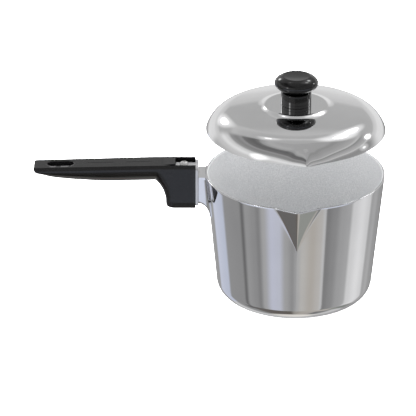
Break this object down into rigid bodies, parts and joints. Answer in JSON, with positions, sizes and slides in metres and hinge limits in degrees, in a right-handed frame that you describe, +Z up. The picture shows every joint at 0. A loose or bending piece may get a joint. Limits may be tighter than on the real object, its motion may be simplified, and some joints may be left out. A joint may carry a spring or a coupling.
{
  "type": "covered saucepan insert",
  "caption": "Tapered saucepan insert with a pouring spout, a long side handle and a domed lid with a knob; the lid lifts straight off.",
  "frame": {"origin": "centre of the pan's flat underside", "axes": "+Z up along the pan's axis; the handle points to -X and the spout to -Y"},
  "size_m": [0.3281, 0.176, 0.2192],
  "materials": {
    "pan_metal": "mirror polished outside, speckled light grey non-stick coating inside",
    "lid_metal": "mirror polished",
    "strap_metal": "satin",
    "grip_plastic": "satin black moulding",
    "knob_plastic": "gloss black moulding",
    "screw_steel": "plain",
    "insert_brass": "turned"
  },
  "bodies": {
    "pan": {"pan_body": "pan_metal", "handle_bracket": "pan_metal", "handle_strap": "strap_metal", "handle_grip": "grip_plastic", "handle_screw": "screw_steel", "handle_insert": "insert_brass"},
    "lid": {"lid_shell": "lid_metal", "knob_collar": "knob_plastic", "lid_knob": "knob_plastic", "knob_screw": "screw_steel", "knob_washer": "screw_steel", "knob_insert": "insert_brass"}
  },
  "joints": [
    {"name": "lid_lift", "type": "slide", "parent": "pan", "child": "lid", "axis": [0, 0, 1], "range_m": [-0.0443, 0.1]}
  ]
}
